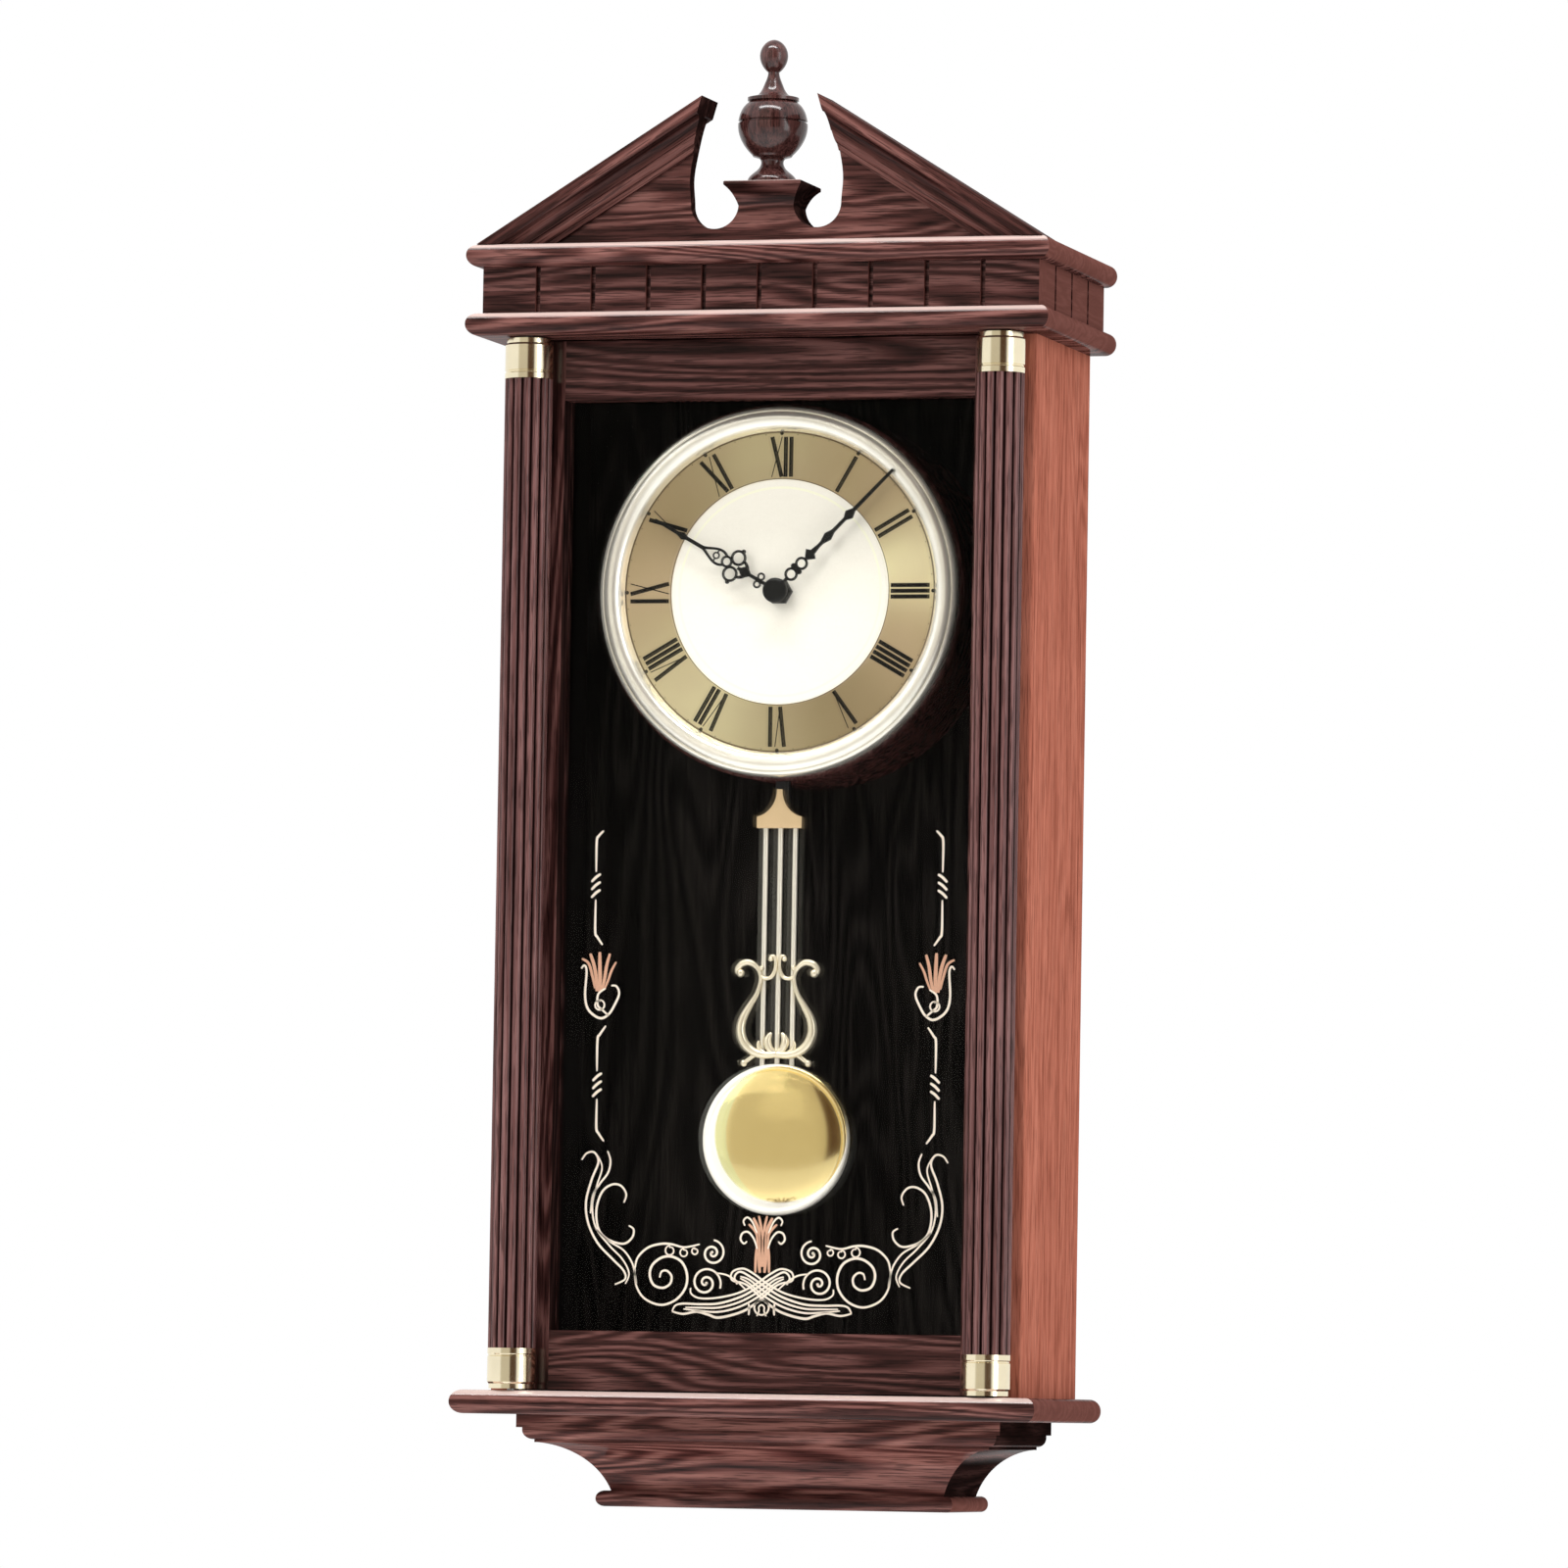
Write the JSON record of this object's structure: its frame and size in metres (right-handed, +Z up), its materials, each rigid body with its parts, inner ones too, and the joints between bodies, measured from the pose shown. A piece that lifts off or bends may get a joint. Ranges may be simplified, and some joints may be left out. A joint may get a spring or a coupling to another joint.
{
  "type": "wall clock",
  "caption": "Wall clock with a pendulum: oak case with reeded columns, broken pediment and finial, pivoted glass door, round dial with Roman numerals, and a lyre pendulum.",
  "frame": {"origin": "centre of the keyhole plate's round hole, on the plane of the wall (the back of the case)", "axes": "+X to the viewer's right, +Y out of the back of the clock into the wall (the front faces -Y), +Z up"},
  "size_m": [0.305, 0.14, 0.742],
  "materials": {
    "dark_oak": "reddish-brown stain with open dark pores, satin lacquer",
    "side_oak": "lighter red-brown stain, upright grain, satin lacquer",
    "back_board": "near-black stain, faint upright grain",
    "steel": "zinc-plated",
    "rubber": "soft pads",
    "black_plastic": "moulded, fine texture",
    "dial_white": "cream-white satin paint",
    "dial_gold": "circularly brushed, with printed numerals",
    "bezel_gold": "pale polished plating",
    "brass": "polished",
    "nylon": "moulded natural",
    "copper": "enamelled copper winding",
    "battery_wrap": "plain printed wrap",
    "board_green": "solder mask",
    "clear_glass": "clear, with a gilt line pattern printed behind",
    "hand_black": "gloss black",
    "pendulum_gold": "polished and lacquered"
  },
  "bodies": {
    "case": {"base_foot": "dark_oak", "base_cove_front": "dark_oak", "base_cove_returns": "dark_oak", "base_shelf": "dark_oak", "side_panel_left": "side_oak", "side_panel_right": "side_oak", "back_panel": "back_board", "hanging_rail": "side_oak", "hanger_plate": "steel", "hanger_screws": "steel", "wall_bumpers": "rubber", "lower_cornice": "dark_oak", "frieze_front": "dark_oak", "frieze_returns": "dark_oak", "upper_cornice": "dark_oak", "pediment_board": "dark_oak", "rake_mouldings": "dark_oak", "finial_plinth": "dark_oak", "finial": "dark_oak", "door_pivot_pins": "steel", "catch_magnet": "black_plastic", "dial_housing": "dark_oak", "dial_plate": "dial_white", "chapter_ring": "dial_gold", "bezel": "bezel_gold", "dial_nut": "black_plastic", "movement_frame": "black_plastic", "movement_cover": "black_plastic", "batteries": "battery_wrap", "circuit_board": "board_green", "step_motor": "black_plastic", "chime_speaker": "black_plastic", "pendulum_bracket": "black_plastic", "pendulum_coil": "copper"},
    "door": {"door_stile_left": "dark_oak", "door_stile_right": "dark_oak", "door_rails": "dark_oak", "door_glass": "clear_glass", "glass_retainers": "dark_oak", "column_left": "dark_oak", "column_right": "dark_oak", "column_caps": "brass", "strike_plate": "steel"},
    "pendulum": {"pendulum_lever": "black_plastic", "pendulum_header": "pendulum_gold", "pendulum_rods": "pendulum_gold", "pendulum_lyre": "pendulum_gold", "pendulum_bob": "pendulum_gold"},
    "minute": {"minute_arbor": "steel", "center_wheel": "brass", "minute_hand": "hand_black"},
    "hour": {"hour_wheel": "brass", "hour_hand": "hand_black"},
    "motion": {"motion_wheel": "nylon"},
    "drive": {"drive_pinion": "nylon"},
    "setting": {"setting_knob": "black_plastic"},
    "volume": {"volume_knob": "black_plastic"},
    "selector": {"chime_selector": "black_plastic"},
    "tester": {"test_button": "black_plastic"},
    "battery_lid": {"battery_cover": "black_plastic"}
  },
  "joints": [
    {"name": "door_swing", "type": "hinge", "parent": "case", "child": "door", "pos_m": [-0.1237, -0.1213, -0.24], "axis": [0, 0, -1], "range_deg": [0, 100]},
    {"name": "pendulum_swing", "type": "hinge", "parent": "case", "child": "pendulum", "pos_m": [0, -0.0729, -0.174], "axis": [0, 1, 0], "range_deg": [-6, 6]},
    {"name": "minute_turn", "type": "hinge", "parent": "case", "child": "minute", "pos_m": [0, -0.0934, -0.104], "axis": [0, 1, 0], "continuous": true},
    {"name": "hour_turn", "type": "hinge", "parent": "case", "child": "hour", "pos_m": [0, -0.0907, -0.104], "axis": [0, 1, 0], "continuous": true},
    {"name": "motion_wheel_turn", "type": "hinge", "parent": "case", "child": "motion", "pos_m": [0.015, -0.0715, -0.104], "axis": [0, 1, 0], "continuous": true},
    {"name": "drive_pinion_turn", "type": "hinge", "parent": "case", "child": "drive", "pos_m": [-0.018, -0.0672, -0.104], "axis": [0, 1, 0], "continuous": true},
    {"name": "setting_knob_turn", "type": "hinge", "parent": "case", "child": "setting", "pos_m": [0.02464, -0.0122, -0.11549], "axis": [0, 1, 0], "continuous": true},
    {"name": "volume_turn", "type": "hinge", "parent": "case", "child": "volume", "pos_m": [-0.032, -0.0134, -0.1155], "axis": [0, 1, 0], "range_deg": [-135, 135]},
    {"name": "selector_slide", "type": "slide", "parent": "case", "child": "selector", "axis": [1, 0, 0], "range_m": [0, 0.008]},
    {"name": "test_press", "type": "slide", "parent": "case", "child": "tester", "axis": [0, -1, 0], "range_m": [0, 0.002], "stiffness_N_per_m": 400},
    {"name": "battery_lid_lift", "type": "slide", "parent": "case", "child": "battery_lid", "axis": [0, 1, 0], "range_m": [0, 0.03]}
  ],
  "couplings": [
    {"joint": "hour_turn", "follows": "minute_turn", "ratio": 0.083333},
    {"joint": "motion_wheel_turn", "follows": "minute_turn", "ratio": -0.33333},
    {"joint": "drive_pinion_turn", "follows": "minute_turn", "ratio": -8},
    {"joint": "setting_knob_turn", "follows": "minute_turn", "ratio": 1}
  ]
}
